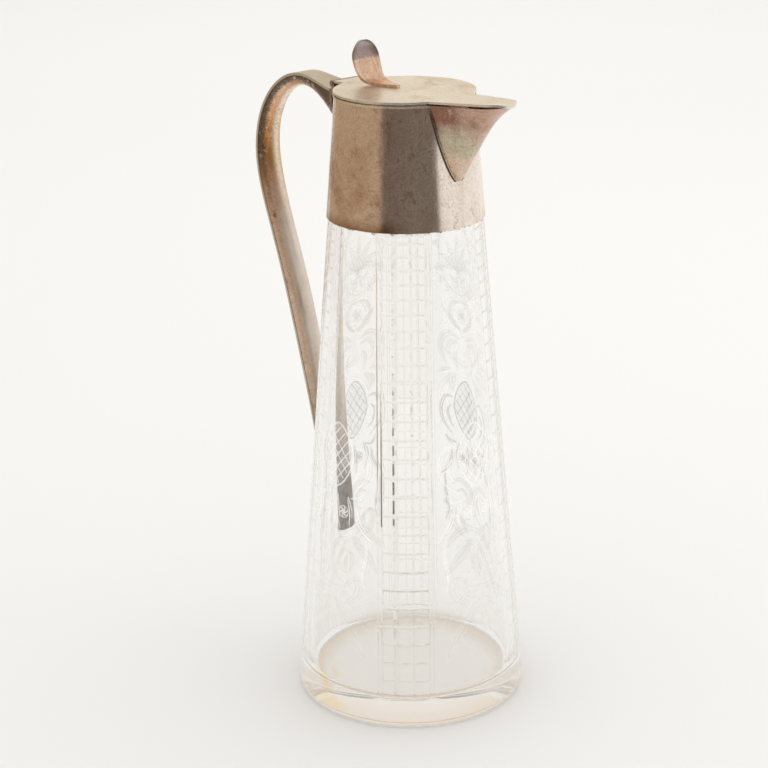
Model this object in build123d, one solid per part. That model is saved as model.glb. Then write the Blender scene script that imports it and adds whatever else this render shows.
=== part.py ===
from build123d import *
import math
import os

os.makedirs("parts", exist_ok=True)

# Claret jug: a tapering cut-glass body in a plated metal mount, with a hinged lid.
# Millimetres.  +X points to the spout, -X to the handle, +Z is up, and the origin is the
# centre of the underside of the base.

# ---------------------------------------------------------------- glass and plaster
base_radius = 52.5
heel_radius = 4.0
base_wall = 5.5
neck_wall = 4.0
floor_thickness = 11.0
floor_corner = 5.0
glass_rim_gap = 1.6  # the neck ends this far below the bottom of the spout
glass_rim_bevel = 1.0  # ground edges of the neck's rim
collar_overlap = 3.0  # full-width glass that goes up inside the collar
plaster_thickness = 0.9
plaster_low = 0.3  # the plaster starts this far above the glass shoulder
plaster_high = 1.5  # and stops this far below the glass rim
fit_clearance = 0.1  # glass and plaster to what lies round them

# ---------------------------------------------------------------- collar and rim
collar_bottom = 225.2  # height of the collar's lower edge
collar_height = 52.6
collar_bottom_radius = 34.9
collar_top_radius = 30.5
collar_sheet = 0.6
rim_thickness = 0.9
rim_proud = 0.4
rim_width = 1.6

# ---------------------------------------------------------------- spout
spout_depth = 32.8  # from the collar's top edge down to the bottom of the spout
spout_half_width = 11.7  # at the collar's top edge
spout_slope = 0.60  # outward run of the keel per height
spout_round = 1.0  # how blunt the keel's foot is
spout_flare = 3.9  # extra reach of the keel at the collar's top edge
spout_sheet = 0.9
spout_blunt = 0.35  # the lowest section of the skin, above the bottom of the spout
spout_hollow_start = 1.8  # the lowest section of the channel inside
spout_root = 2.0  # the straight sides start this far inside the collar's skin
spout_overrun = 6.0  # the form is drawn this far above the collar, then cut to the lip
nose_share = 0.8  # nose radius as a share of the half width at the same height

# ---------------------------------------------------------------- lid
lid_gap = 0.7  # rim to lid
lid_thickness = 1.0
lid_overhang = 0.4
tongue_root_setback = 3.05  # from the collar's top edge in to where the tongue starts to rise
tongue_side_lap = 1.1  # how far the tongue reaches past the spout's side
tongue_tip_trim = 1.16  # how much tighter the tongue's tip is than the spout's nose
tongue_tip_lap = 1.85  # how far the tongue reaches past the spout's lip
tongue_rise = 0.065  # slope of the tongue, a height per length
tongue_turn_length = 3.4  # the last stretch of the tongue, which turns down
tongue_turn_radius = 5.0
tongue_turn_angle = 80
tab_half_width = 8.6
bezel_height = 2.6
bezel_thickness = 0.8
bezel_clearance = 0.35

# ---------------------------------------------------------------- hinge
hinge_setback = 7.3  # from the collar's top edge back to the hinge axis
barrel_diameter = 3.0
pin_diameter = 1.3
pin_clearance = 0.04
knuckle_gap = 0.2
leaf_thickness = 0.8
bracket_half_width = 6.0
centre_knuckle = 7.6
pin_head = 0.35
pin_head_diameter = 1.95
bracket_end_share = 0.75  # how far down the handle's end the bracket reaches
bracket_corner = 3.6
ear_root = 3.0  # how deep the ears go into the bracket

# ---------------------------------------------------------------- handle
handle_half_width = 5.2
handle_depth_arch = 6.0
handle_depth_leg = 8.6
handle_depth_tip = 3.8
handle_end_half_width = 8.6
handle_end_depth = 15.8
handle_flare_length = 22.0
handle_swell_start = 45.0  # along the back, where the arch starts to deepen
handle_swell_length = 40.0
handle_reach = 97.2  # from the jug's axis to the outermost point of the back
handle_crest_rise = 3.3  # from the handle's end up to the crest of the arch
handle_arch_height = 39.4  # from the crest down to the outermost point
handle_tip_height = 62.0
handle_tip_gap = 0.5  # handle to glass, at the handle's free end
strip_thickness = 1.2
strip_overhang = 0.2
shell_wall = 1.0
seam_gap = 0.08  # between the shell and the strip, which the solder fills
end_plate_thickness = 1.2
handle_stations = 11

# ---------------------------------------------------------------- thumbpiece
thumb_height = 17.0
thumb_half_width = 7.4
thumb_lean = 4.8  # how far the blade leans back from its foot
thumb_sheet = 1.2
thumb_foot_length = 14.0
thumb_foot_tip_half = 0.9
thumb_foot_sag = 0.02  # hollow under the foot
thumb_dish = 1.8
thumb_foot_ahead = 34.2  # from the hinge axis forward to the foot's tip
thumb_heel_bend = 3.6  # where the foot starts to turn up, ahead of its heel
thumb_stations = 15
solder_gap = 0.04  # foot to lid

# ---------------------------------------------------------------- worked out
glass_edge_radius = collar_bottom_radius - collar_sheet - fit_clearance
glass_slope = (base_radius - glass_edge_radius) / (collar_bottom - heel_radius)
collar_slope = (collar_bottom_radius - collar_top_radius) / collar_height
collar_top = collar_bottom + collar_height
rim_top = collar_top + rim_thickness
lid_bottom = rim_top + lid_gap
lid_top = lid_bottom + lid_thickness
lid_radius = collar_top_radius + lid_overhang
spout_bottom = collar_top - spout_depth
glass_rim = spout_bottom - glass_rim_gap
glass_shoulder = collar_bottom + collar_overlap
hinge_x = -(collar_top_radius + hinge_setback)
hinge_z = lid_top - barrel_diameter / 2
handle_end_x = hinge_x - barrel_diameter / 2
handle_end_top = hinge_z - barrel_diameter / 2 - 4 * knuckle_gap
pin_bore = pin_diameter + 2 * pin_clearance
tongue_root = collar_top_radius - tongue_root_setback
tongue_root_half = spout_half_width + tongue_side_lap
tongue_tip_half = nose_share * spout_half_width - tongue_tip_trim


def glass_radius(z):
    """Outer radius of the glass cone at a height."""
    return base_radius - glass_slope * (z - heel_radius)


def collar_radius(z):
    """Outer radius of the collar at a height."""
    return collar_bottom_radius - collar_slope * (z - collar_bottom)


def neck_radius(z):
    """Outer radius of the glass neck inside the collar at a height."""
    return collar_radius(z) - collar_sheet - plaster_thickness


def revolved(points):
    """A solid of revolution about Z from a closed outline of (radius, height) points."""
    outline = Polyline([(r, 0, z) for r, z in points], close=True)
    return revolve(Face(Wire(outline.edges())), axis=Axis.Z)


def cone_between(z0, r0, z1, r1):
    """A solid cone stump about Z."""
    return revolved([(0, z0), (r0, z0), (r1, z1), (0, z1)])


def glass_body():
    """The outside is one cone up to the collar, then follows the collar's inside."""
    shoulder = glass_shoulder
    neck_top = neck_radius(glass_rim)
    bore_top = neck_top - neck_wall
    edge = glass_rim_bevel
    heel = (base_radius, 0)
    floor_edge = (glass_radius(floor_thickness) - base_wall, floor_thickness)
    outline = Polyline([(r, 0, z) for r, z in [
        (0, 0),
        heel,
        (base_radius, heel_radius),
        (glass_edge_radius, collar_bottom),
        (collar_radius(shoulder) - collar_sheet - fit_clearance, shoulder),
        (neck_radius(shoulder), shoulder),
        (neck_radius(glass_rim - edge), glass_rim - edge),
        (neck_top - edge, glass_rim),
        (bore_top + edge, glass_rim),
        (bore_top, glass_rim - edge),
        floor_edge,
        (0, floor_thickness),
    ]], close=True)
    side = Face(Wire(outline.edges()))
    for (r, z), radius in ((heel, heel_radius * 0.9), (floor_edge, floor_corner)):
        corner = side.vertices().sort_by_distance((r, 0, z))[0]
        side = side.fillet_2d(radius, [corner])
    return revolve(side, axis=Axis.Z)


def cement_bed():
    low = glass_shoulder + plaster_low
    high = glass_rim - plaster_high
    gap = fit_clearance
    return revolved([
        (neck_radius(low) + gap, low),
        (collar_radius(low) - collar_sheet - gap, low),
        (collar_radius(high) - collar_sheet - gap, high),
        (neck_radius(high) + gap, high),
    ])


def spout_half_width_at(z):
    """The spout's junction with the collar is a parabola standing on its tip."""
    return spout_half_width * math.sqrt((z - spout_bottom) / spout_depth)


def spout_nose_at(z):
    """Distance of the keel from the jug's axis at a height."""
    rise = z - spout_bottom
    foot = spout_round * (1 - math.exp(-rise / spout_round))
    flare = spout_flare * (rise / spout_depth) ** 5
    return collar_radius(spout_bottom) + foot + spout_slope * rise + flare


def spout_section(z, inset, back):
    """A horizontal section of the spout: straight sides that meet a round nose."""
    half = spout_half_width_at(z) - inset
    nose = spout_nose_at(z) - inset
    radius = nose_share * half
    root = collar_radius(z) - spout_root
    centre = nose - radius
    # The side runs from (root, half) and touches the nose circle.
    run = centre - root
    reach = math.hypot(run, half)
    angle = math.atan2(half, -run) - math.acos(radius / reach)
    tx = centre + radius * math.cos(angle)
    ty = radius * math.sin(angle)
    lines = [
        Line((root, half, z), (tx, ty, z)),
        ThreePointArc((tx, ty, z), (nose, 0, z), (tx, -ty, z)),
        Line((tx, -ty, z), (root, -half, z)),
        Line((root, -half, z), (back, -half, z)),
        Line((back, -half, z), (back, half, z)),
        Line((back, half, z), (root, half, z)),
    ]
    return Face(Wire(lines))


def spout_form(inset, back, low):
    """The spout's solid form, inset from its outer skin, up past the sloping lip."""
    top = collar_top + spout_overrun
    steps = 6
    levels = [low + (top - low) * (k / steps) ** 1.6 for k in range(steps + 1)]
    return loft([spout_section(z, inset, back) for z in levels])


def tongue_underside(x):
    """Height of the lid's underside over the spout, which rises towards the tip."""
    return lid_bottom + tongue_rise * max(0, x - tongue_root)


def side_prism(points, half):
    """A prism across the jug, with a closed outline of (x, z) points, half wide each way."""
    outline = Polyline([(x, -half, z) for x, z in points], close=True)
    return extrude(Face(Wire(outline.edges())), 2 * half, dir=(0, 1, 0))


def spout_lip_x():
    """Where the keel meets the lip, whose height follows the tongue."""
    x = spout_nose_at(collar_top)
    for _ in range(12):
        x = spout_nose_at(tongue_underside(x) - lid_gap)
    return x


def spout_top_cut():
    """Everything above the spout's lip, which follows the tongue at the lid's gap."""
    far = 2 * tongue_tip_x
    return side_prism([
        (-far, lid_bottom - lid_gap),
        (tongue_root, lid_bottom - lid_gap),
        (far, tongue_underside(far) - lid_gap),
        (far, lid_top + 40),
        (-far, lid_top + 40),
    ], 2 * spout_half_width)


tongue_tip_x = spout_lip_x() + tongue_tip_lap
turn_x = tongue_tip_x - tongue_turn_length
outer_form = spout_form(0, collar_top_radius * 0.66, spout_bottom + spout_blunt)
inner_form = spout_form(spout_sheet, collar_top_radius / 2, spout_bottom + spout_hollow_start)


def collar_band():
    outer = cone_between(collar_bottom, collar_bottom_radius, collar_top, collar_top_radius)
    inner = cone_between(
        collar_bottom - 1, collar_radius(collar_bottom - 1) - collar_sheet,
        collar_top + 1, collar_radius(collar_top + 1) - collar_sheet,
    )
    return outer - inner - inner_form


def collar_rim():
    outer = collar_top_radius + rim_proud
    inner = outer - rim_width
    ring = revolved([
        (inner, collar_top), (outer, collar_top), (outer, rim_top), (inner, rim_top),
    ])
    return ring - outer_form


def spout_lip():
    collar = cone_between(
        collar_bottom, collar_bottom_radius, collar_top + 12, collar_radius(collar_top + 12)
    )
    return outer_form - inner_form - collar - spout_top_cut()


def across(x, z, radius, low, high):
    """A cylinder along Y round the point (x, z), from y = low to y = high."""
    plane = Plane(origin=(x, low, z), x_dir=(1, 0, 0), z_dir=(0, 1, 0))
    return extrude(plane * Circle(radius), high - low)


def block(low, high):
    """A box between two corners."""
    size = [b - a for a, b in zip(low, high)]
    middle = [(a + b) / 2 for a, b in zip(low, high)]
    return Pos(*middle) * Box(*size)


def lid_outline():
    """The lid seen from above: a disc, the tongue over the spout and the hinge tab."""
    centre = tongue_tip_x - tongue_tip_half
    reach = math.hypot(centre - tongue_root, tongue_root_half)
    angle = math.atan2(tongue_root_half, tongue_root - centre) - math.acos(tongue_tip_half / reach)
    tx = centre + tongue_tip_half * math.cos(angle)
    ty = tongue_tip_half * math.sin(angle)
    tongue = Face(Wire([
        Line((0, -tongue_root_half), (tongue_root, -tongue_root_half)),
        Line((tongue_root, -tongue_root_half), (tx, -ty)),
        ThreePointArc((tx, -ty), (tongue_tip_x, 0), (tx, ty)),
        Line((tx, ty), (tongue_root, tongue_root_half)),
        Line((tongue_root, tongue_root_half), (0, tongue_root_half)),
        Line((0, tongue_root_half), (0, -tongue_root_half)),
    ]))
    tab_end = hinge_x + barrel_diameter / 2 + knuckle_gap
    tab = Pos(tab_end / 2, 0) * Rectangle(-tab_end, 2 * tab_half_width)
    return Circle(lid_radius) + tongue + tab


def turned_tip(radius, turn):
    """A point on the tongue's turned-down tip, at an angle past the start of the turn."""
    slope = math.atan(tongue_rise)
    cx = turn_x + tongue_turn_radius * math.sin(slope)
    cz = tongue_underside(turn_x) - tongue_turn_radius * math.cos(slope)
    return cx + radius * math.sin(turn - slope), cz + radius * math.cos(turn - slope)


def lid_plate():
    """The plan outline, cut from a sheet that rises over the spout and turns down."""
    outline = extrude(lid_outline(), lid_top + 20)
    low, high = tongue_turn_radius, tongue_turn_radius + lid_thickness
    half = 2 * lid_radius
    start, middle, end = [math.radians(tongue_turn_angle * share) for share in (0, 0.5, 1)]

    def at(point):
        return point[0], -half, point[1]

    profile = Face(Wire([
        Line(at((-half, lid_bottom)), at((tongue_root, lid_bottom))),
        Line(at((tongue_root, lid_bottom)), at(turned_tip(low, start))),
        ThreePointArc(*[at(turned_tip(low, t)) for t in (start, middle, end)]),
        Line(at(turned_tip(low, end)), at(turned_tip(high, end))),
        ThreePointArc(*[at(turned_tip(high, t)) for t in (end, middle, start)]),
        Line(at(turned_tip(high, start)), at((tongue_root, lid_top))),
        Line(at((tongue_root, lid_top)), at((-half, lid_top))),
        Line(at((-half, lid_top)), at((-half, lid_bottom))),
    ]))
    return outline & extrude(profile, 2 * half, dir=(0, 1, 0))


def lid_bezel():
    outer = collar_top_radius + rim_proud - rim_width - bezel_clearance
    inner = outer - bezel_thickness
    low = lid_bottom - bezel_height
    return revolved([(inner, low), (outer, low), (outer, lid_bottom), (inner, lid_bottom)])


def lid_knuckle():
    """The lid's knuckle with its leaf, which is soldered under the tab."""
    half = centre_knuckle / 2
    barrel = across(hinge_x, hinge_z, barrel_diameter / 2, -half, half)
    front = -(collar_top_radius + rim_proud + knuckle_gap)
    leaf = block((hinge_x, -half, lid_bottom - leaf_thickness), (front, half, lid_bottom))
    bore = across(hinge_x, hinge_z, pin_bore / 2, -half - 1, half + 1)
    return barrel + leaf - bore


def hinge_pin():
    half = tab_half_width
    shank = across(hinge_x, hinge_z, pin_diameter / 2, -half, half)
    for side in (-1, 1):
        low, high = sorted((side * half, side * (half + pin_head)))
        shank += across(hinge_x, hinge_z, pin_head_diameter / 2, low, high)
    return shank


def hinge_bracket():
    """The block behind the collar, with the two fixed knuckles on its ears."""
    back = handle_end_x + end_plate_thickness
    top = hinge_z - barrel_diameter / 2 - knuckle_gap * 2
    low = handle_end_top - handle_end_depth * bracket_end_share
    half = bracket_half_width
    body = block((back, -half, low), (-collar_top_radius / 2, half, top))
    lower = [e for e in body.edges() if abs(e.center().Z - low) < 0.01 and abs(e.center().Y) > 1]
    body = fillet(lower, bracket_corner)
    inside = centre_knuckle / 2 + knuckle_gap
    for side in (-1, 1):
        near, far = sorted((side * inside, side * tab_half_width))
        body += across(hinge_x, hinge_z, barrel_diameter / 2, near, far)
        body += block((back, near, top - ear_root), (hinge_x + barrel_diameter / 2, far, hinge_z))
    body -= across(hinge_x, hinge_z, pin_bore / 2, -tab_half_width - 1, tab_half_width + 1)
    return body - cone_between(
        collar_bottom, collar_bottom_radius, collar_top + 5, collar_radius(collar_top + 5)
    )


quarter_pull = 0.5523  # where a quarter circle's Bezier handles end, as a share of its radius


def handle_path():
    """The line down the middle of the handle's back, from the hinge to the free end."""
    rise = handle_crest_rise
    end_x, end_z = handle_end_x, handle_end_top
    crest = end_z + rise
    out = handle_reach + end_x
    outer_z = crest - handle_arch_height
    tip_x = -(glass_radius(handle_tip_height) + handle_tip_gap + handle_depth_tip)
    back_in = handle_reach + tip_x
    down = outer_z - handle_tip_height
    points = [
        (end_x, 0, end_z),
        (end_x - out * 0.22, 0, end_z + rise * 0.55),
        (end_x - out * 0.46, 0, crest),
        (end_x - out * 0.83, 0, crest - handle_arch_height * 0.31),
        (-handle_reach, 0, outer_z),
        (-handle_reach + back_in * 0.21, 0, outer_z - down * 0.21),
        (-handle_reach + back_in * 0.66, 0, outer_z - down * 0.575),
        (tip_x, 0, handle_tip_height),
    ]
    return Spline(*points)


def eased(share):
    """0 to 1 with a soft start and end."""
    share = min(1, max(0, share))
    return share * share * (3 - 2 * share)


def handle_size_at(distance, length):
    """Half width and depth of the handle at a distance along its back."""
    flare = max(0, 1 - distance / handle_flare_length) ** 1.6
    depth = handle_depth_arch + (handle_depth_leg - handle_depth_arch) * eased(
        (distance - handle_swell_start) / handle_swell_length)
    depth += (handle_end_depth - handle_depth_arch) * flare
    taper = eased((distance - 0.62 * length) / (0.38 * length))
    depth += (handle_depth_tip - handle_depth_leg) * taper
    half = handle_half_width + (handle_end_half_width - handle_half_width) * flare
    return half, depth


def handle_plane(path, distance):
    """A plane square to the handle, with Y across it and its own Y towards the jug."""
    at = path.position_at(distance, position_mode=PositionMode.LENGTH)
    along = path.tangent_at(distance, position_mode=PositionMode.LENGTH)
    if distance == 0:
        along = Vector(-1, 0, 0)
    return Plane(origin=at, x_dir=(0, 1, 0), z_dir=(along.X, 0, along.Z))


def shell_section(plane, half, back, depth):
    """A D outline: a flat back, short straight sides and a round front."""
    crown = min(half, 0.8 * (depth - back))
    side = depth - crown
    pull = quarter_pull * crown
    wide = quarter_pull * half
    outline = Wire([
        Line((-half, back), (half, back)),
        Line((half, back), (half, side)),
        Bezier((half, side), (half, side + pull), (wide, depth), (0, depth)),
        Bezier((0, depth), (-wide, depth), (-half, side + pull), (-half, side)),
        Line((-half, side), (-half, back)),
    ])
    return plane.location * Face(outline)


def handle_distances(first, last):
    """Stations along the handle, closer together in the flare and the arch."""
    steps = handle_stations - 1
    return [first + (last - first) * (k / steps) ** 1.25 for k in range(handle_stations)]


def handle_line(path, offset, run_out):
    """A line along the handle at a distance inwards from its back, drawn past both ends."""
    steps = 3 * handle_stations
    planes = [handle_plane(path, path.length * k / steps) for k in range(steps + 1)]
    points = [plane.origin + plane.y_dir * offset for plane in planes]
    if run_out > 0:
        points.insert(0, points[0] - planes[0].z_dir * run_out)
        points.append(points[-1] + planes[-1].z_dir * run_out)
    return Spline(*points)


def back_prism(path, low, high, run_out):
    """A prism across the handle between two offsets from its back."""
    near, far = handle_line(path, low, run_out), handle_line(path, high, run_out)
    half = handle_end_half_width + 2
    side = Face(Wire([near, far, Line(near @ 0, far @ 0), Line(near @ 1, far @ 1)]))
    return extrude(Pos(0, -half, 0) * side, 2 * half, dir=(0, 1, 0))


def strip_plan(path):
    """The strip seen from above: flared at the hinge and of one width from there on."""
    marks = [handle_flare_length * k / 6 for k in range(7)]
    wide = [handle_size_at(d, path.length)[0] + strip_overhang for d in marks]
    runs = [path.position_at(d, position_mode=PositionMode.LENGTH).X for d in marks]
    far = -handle_reach - 1
    edges = []
    for side in (-1, 1):
        edges.append(Spline(*[(x, side * y) for x, y in zip(runs, wide)]))
        edges.append(Line((runs[-1], side * wide[-1]), (far, side * wide[-1])))
    edges.append(Line((runs[0], -wide[0]), (runs[0], wide[0])))
    edges.append(Line((far, -wide[-1]), (far, wide[-1])))
    return extrude(Face(Wire(edges)), collar_top * 2, dir=(0, 0, 1))


def handle_shell():
    path = handle_path()
    length = path.length
    outer, inner = [], []
    for distance in handle_distances(0, length):
        half, depth = handle_size_at(distance, length)
        outer.append(shell_section(handle_plane(path, distance), half, strip_thickness / 2, depth))
    for distance in handle_distances(0, length - 3 * handle_depth_tip):
        half, depth = handle_size_at(distance, length)
        half -= shell_wall
        depth -= shell_wall
        inner.append(shell_section(handle_plane(path, distance), half, strip_thickness / 3, depth))
    return loft(outer) - loft(inner) - back_prism(path, -2, strip_thickness + seam_gap, 2)


def handle_back():
    path = handle_path()
    return back_prism(path, 0, strip_thickness, 0) & strip_plan(path)


def handle_end_plate():
    plane = Plane(origin=(handle_end_x, 0, handle_end_top), x_dir=(0, 1, 0), z_dir=(-1, 0, 0))
    face = shell_section(plane, handle_end_half_width, 0, handle_end_depth)
    return extrude(face, end_plate_thickness, dir=(1, 0, 0))


def thumb_path():
    foot = lid_top + thumb_sheet + solder_gap
    start = hinge_x + thumb_foot_ahead
    heel = start - thumb_foot_length
    return Spline(
        (start, 0, foot),
        (heel + thumb_heel_bend, 0, foot),
        (heel - 2.6, 0, foot + 1.7),
        (heel - 0.72 * thumb_lean - 2.2, 0, foot + 0.42 * thumb_height),
        (heel - thumb_lean - 2.8, 0, foot + thumb_height),
        tangents=[(-1, 0, 0), (-0.1, 0, 1)],
    )


def thumb_section(path, distance):
    """A dished strip across the path, with its hollow face towards the spout."""
    length = path.length
    widest = length - thumb_height * 0.48
    if distance > widest:
        share = (distance - widest) / (length - widest)
        half = thumb_half_width * math.sqrt(max(0.04, 1 - share ** 2))
    else:
        tip = thumb_foot_tip_half
        half = tip + (thumb_half_width - tip) * math.sin(math.pi / 2 * distance / widest) ** 1.2
    sag = thumb_foot_sag + thumb_dish * eased((distance - 0.6 * length) / (0.25 * length))
    at = path.position_at(distance, position_mode=PositionMode.LENGTH)
    along = path.tangent_at(distance, position_mode=PositionMode.LENGTH)
    plane = Plane(origin=at, x_dir=(0, 1, 0), z_dir=(along.X, 0, along.Z))
    sag *= half / thumb_half_width
    sag = max(sag, thumb_foot_sag)
    outline = Wire([
        ThreePointArc((-half, 0), (0, sag), (half, 0)),
        Line((half, 0), (half, thumb_sheet)),
        ThreePointArc((half, thumb_sheet), (0, sag + thumb_sheet), (-half, thumb_sheet)),
        Line((-half, thumb_sheet), (-half, 0)),
    ])
    return plane.location * Face(outline)


def thumbpiece():
    path = thumb_path()
    steps = thumb_stations - 1
    share = [(k / steps) ** 0.9 for k in range(thumb_stations)]
    blade = loft([thumb_section(path, path.length * k) for k in share])
    below = block((-lid_radius, -lid_radius, lid_bottom), (0, lid_radius, lid_top + solder_gap))
    return blade - below


parts = {
    "glass_body": glass_body(),
    "cement_bed": cement_bed(),
    "collar_band": collar_band(),
    "collar_rim": collar_rim(),
    "spout_lip": spout_lip(),
    "hinge_bracket": hinge_bracket(),
    "handle_end_plate": handle_end_plate(),
    "handle_shell": handle_shell(),
    "handle_back": handle_back(),
    "hinge_pin": hinge_pin(),
    "lid_plate": lid_plate(),
    "lid_bezel": lid_bezel(),
    "lid_knuckle": lid_knuckle(),
    "thumbpiece": thumbpiece(),
}
for name, shape in parts.items():
    export_step(shape, f"parts/{name}.step")
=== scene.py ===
"""The looks of the claret jug: cut and engraved glass, toned silver plate, camera and studio."""
import math

import bpy
from mathutils import Matrix, Vector, noise


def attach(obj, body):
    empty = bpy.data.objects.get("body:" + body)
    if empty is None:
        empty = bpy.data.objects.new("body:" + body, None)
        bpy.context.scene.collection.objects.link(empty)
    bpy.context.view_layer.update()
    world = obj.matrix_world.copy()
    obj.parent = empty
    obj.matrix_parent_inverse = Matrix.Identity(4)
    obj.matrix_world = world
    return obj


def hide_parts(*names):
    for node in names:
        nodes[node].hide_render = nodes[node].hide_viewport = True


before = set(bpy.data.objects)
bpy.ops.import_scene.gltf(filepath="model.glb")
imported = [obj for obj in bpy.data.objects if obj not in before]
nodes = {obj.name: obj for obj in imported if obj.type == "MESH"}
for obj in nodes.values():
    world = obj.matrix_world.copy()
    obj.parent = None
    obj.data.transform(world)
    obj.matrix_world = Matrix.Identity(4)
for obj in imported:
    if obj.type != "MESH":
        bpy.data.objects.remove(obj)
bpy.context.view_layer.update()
scene = bpy.context.scene
MM = 0.001
X, Y, Z = 0, 1, 2

# ---------------------------------------------------------------- sizes of the glass, in mm
BASE_R, HEEL_Z, HEEL_R = 52.5, 4.0, 3.6
GLASS_SLOPE = 0.08273               # radius lost per mm of height, from HEEL_Z up
NECK_Z, RIM_Z, RIM_BEVEL = 228.2, 243.4, 1.2
NECK_R, RIM_R = 33.15, 31.88
INNER_FOOT_R, INNER_TOP_R = 46.42, 27.88
FLOOR_Z, CORNER_R = 11.0, 5.0
FLOOR_RISE, FLOOR_RISE_R = 0.25, 40.0    # the inner floor rises this much towards its middle


def glass_r(z):
    """Radius of the outside at a height."""
    return BASE_R - GLASS_SLOPE * (z - HEEL_Z)


def inner_r(z):
    """Radius of the hollow at a height."""
    t = (z - FLOOR_Z) / (RIM_Z - FLOOR_Z)
    return INNER_FOOT_R + (INNER_TOP_R - INNER_FOOT_R) * t


def polar(r, a, z):
    """A point in metres from a radius and height in mm and an angle in radians."""
    return Vector((r * math.cos(a), r * math.sin(a), z)) * MM


# ---------------------------------------------------------------- helpers
def new_piece(name, verts, faces, material, body="jug", smooth_angle=None):
    """A mesh that rides on a body; with a smooth angle, only edges sharper than it stay sharp."""
    mesh = bpy.data.meshes.new(name)
    mesh.from_pydata([tuple(v) for v in verts], [], faces)
    mesh.validate()
    mesh.update()
    mesh.materials.append(material)
    piece = bpy.data.objects.new(name, mesh)
    scene.collection.objects.link(piece)
    for polygon in mesh.polygons:
        polygon.use_smooth = smooth_angle is not None
    if smooth_angle is not None:
        mesh.set_sharp_from_angle(angle=math.radians(smooth_angle))
    if body:
        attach(piece, body)
    return piece


class Graph:
    """A material and short ways to write its nodes."""

    def __init__(self, name):
        self.mat = bpy.data.materials.new(name)
        self.mat.use_nodes = True
        self.tree = self.mat.node_tree
        self.bsdf = self.tree.nodes["Principled BSDF"]
        self.out = self.tree.nodes["Material Output"]

    def node(self, kind, inputs=None, **props):
        made = self.tree.nodes.new(kind)
        for key, value in props.items():
            setattr(made, key, value)
        for key, value in (inputs or {}).items():
            self.put(made.inputs[key], value)
        return made

    def put(self, socket, value):
        """Set a socket to a value, or link it if the value is another socket."""
        if isinstance(value, bpy.types.NodeSocket):
            self.tree.links.new(value, socket)
        else:
            socket.default_value = value

    def set(self, **values):
        for key, value in values.items():
            self.put(self.bsdf.inputs[key.replace("_", " ")], value)

    def coords(self):
        return self.node("ShaderNodeTexCoord").outputs["Object"]

    def noise(self, scale, detail=4.0, rough=0.5, vector=None, distortion=0.0):
        return self.node("ShaderNodeTexNoise", {
            "Vector": vector or self.coords(), "Scale": scale, "Detail": detail,
            "Roughness": rough, "Distortion": distortion}).outputs["Fac"]

    def remap(self, value, low, high, to_low=0.0, to_high=1.0):
        return self.node("ShaderNodeMapRange", {
            0: value, 1: low, 2: high, 3: to_low, 4: to_high}, clamp=True).outputs[0]

    def mix(self, fac, a, b):
        return self.node(
            "ShaderNodeMix", {0: fac, 6: a, 7: b}, data_type="RGBA").outputs[2]

    def math(self, op, a, b=0.0):
        return self.node("ShaderNodeMath", {0: a, 1: b}, operation=op).outputs[0]

    def axis(self, which, vector=None):
        return self.node(
            "ShaderNodeSeparateXYZ", {"Vector": vector or self.coords()}).outputs[which]

    def scaled(self, scale):
        return self.node("ShaderNodeMapping", {
            "Vector": self.coords(), "Scale": scale}).outputs[0]

    def moved(self, offset):
        return self.node("ShaderNodeMapping", {
            "Vector": self.coords(), "Location": (offset,) * 3}).outputs[0]

    def bump(self, height, strength, distance, normal=None):
        made = self.node("ShaderNodeBump", {
            "Height": height, "Strength": strength, "Distance": distance})
        if normal is not None:
            self.put(made.inputs["Normal"], normal)
        return made.outputs[0]


def rgb(r, g, b):
    """A display colour, 0 to 255, as scene-linear RGBA."""
    def linear(v):
        v /= 255
        return v / 12.92 if v <= 0.04045 else ((v + 0.055) / 1.055) ** 2.4
    return linear(r), linear(g), linear(b), 1.0


# ---------------------------------------------------------------- materials
def times(g, *values):
    """The product of values, which are sockets or numbers."""
    result = values[0]
    for value in values[1:]:
        result = g.math("MULTIPLY", result, value)
    return result


def centred(g, value, reach):
    """A 0 to 1 value moved to lie evenly about 0, over a given reach."""
    return g.math("MULTIPLY", g.math("SUBTRACT", value, 0.5), reach)


def band(g, axis, start, full, wobble, reach):
    """0 before start and 1 from full on, along an axis in metres, with a wandering edge."""
    return g.remap(g.math("ADD", g.axis(axis), centred(g, wobble, reach)), start, full)


def facing(g, axis):
    """The share of the surface normal along an axis."""
    return g.axis(axis, g.node("ShaderNodeNewGeometry").outputs["Normal"])


def side_facing(g):
    """How far a face looks to either side of the jug."""
    return g.math("ABSOLUTE", facing(g, Y))


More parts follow.
